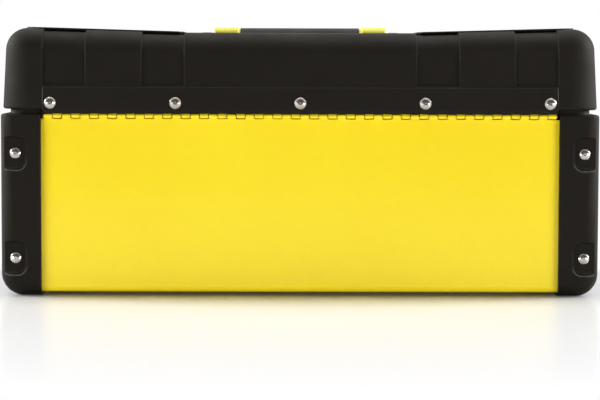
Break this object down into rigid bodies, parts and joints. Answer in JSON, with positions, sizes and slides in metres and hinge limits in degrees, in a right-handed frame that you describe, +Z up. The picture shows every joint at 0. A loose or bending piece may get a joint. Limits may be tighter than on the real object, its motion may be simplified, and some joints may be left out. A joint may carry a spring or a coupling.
{
  "type": "toolbox with tray",
  "caption": "Long portable toolbox with a folded steel body between moulded end caps, a hinged moulded lid with a folding handle and covered bins, snap latches and a lift-out tray.",
  "frame": {"origin": "middle of the box on the ground, under the centre of its overall box", "axes": "+X along the box to the right of someone facing the front, +Y to the rear where the hinge is, +Z up"},
  "size_m": [0.508, 0.2439, 0.2292],
  "materials": {
    "yellow_paint": "smooth gloss coat",
    "black_plastic": "fine moulded grain",
    "cover_plastic": "fine moulded grain",
    "bin_plastic": "smooth moulded",
    "tray_plastic": "smooth moulded",
    "rivet_metal": "bright plated",
    "pin_steel": "drawn wire",
    "latch_steel": "bright plated sheet",
    "handle_plastic": "smooth moulded",
    "grip_rubber": "soft sleeve"
  },
  "bodies": {
    "box": {"body_shell": "yellow_paint", "left_end_cap": "black_plastic", "right_end_cap": "black_plastic", "left_cap_rivets": "rivet_metal", "right_cap_rivets": "rivet_metal", "hinge_pin": "pin_steel", "left_keeper": "latch_steel", "right_keeper": "latch_steel", "left_keeper_rivets": "rivet_metal", "right_keeper_rivets": "rivet_metal"},
    "lid": {"lid_shell": "black_plastic", "lid_hinge_leaf": "yellow_paint", "hinge_rivets": "rivet_metal", "left_organizer_bin": "bin_plastic", "right_organizer_bin": "bin_plastic", "left_cover_pin": "pin_steel", "right_cover_pin": "pin_steel", "left_handle_pin": "pin_steel", "right_handle_pin": "pin_steel", "left_latch_pin": "pin_steel", "right_latch_pin": "pin_steel"},
    "handle": {"handle_bail": "handle_plastic", "handle_grip": "grip_rubber"},
    "left_cover": {"left_organizer_cover": "cover_plastic"},
    "right_cover": {"right_organizer_cover": "cover_plastic"},
    "left_latch_lever": {"left_latch": "latch_steel"},
    "right_latch_lever": {"right_latch": "latch_steel"},
    "lift_out_tray": {"tray": "tray_plastic"}
  },
  "joints": [
    {"name": "lid_hinge", "type": "hinge", "parent": "box", "child": "lid", "pos_m": [0, 0.1144, 0.15265], "axis": [-1, 0, 0], "range_deg": [0, 105]},
    {"name": "handle_fold", "type": "hinge", "parent": "lid", "child": "handle", "pos_m": [0, 0.006, 0.2202], "axis": [-1, 0, 0], "range_deg": [0, 90]},
    {"name": "left_cover_hinge", "type": "hinge", "parent": "lid", "child": "left_cover", "pos_m": [-0.10088, 0, 0.22316], "axis": [0, 1, 0], "range_deg": [0, 100]},
    {"name": "right_cover_hinge", "type": "hinge", "parent": "lid", "child": "right_cover", "pos_m": [0.10088, 0, 0.22316], "axis": [0, -1, 0], "range_deg": [0, 100]},
    {"name": "left_latch_pivot", "type": "hinge", "parent": "lid", "child": "left_latch_lever", "pos_m": [-0.11635, -0.12055, 0.1789], "axis": [-1, 0, 0], "range_deg": [-5, 95]},
    {"name": "right_latch_pivot", "type": "hinge", "parent": "lid", "child": "right_latch_lever", "pos_m": [0.11635, -0.12055, 0.1789], "axis": [-1, 0, 0], "range_deg": [-5, 95]},
    {"name": "tray_lift", "type": "slide", "parent": "box", "child": "lift_out_tray", "axis": [0, 0, 1], "range_m": [0, 0.03]}
  ]
}
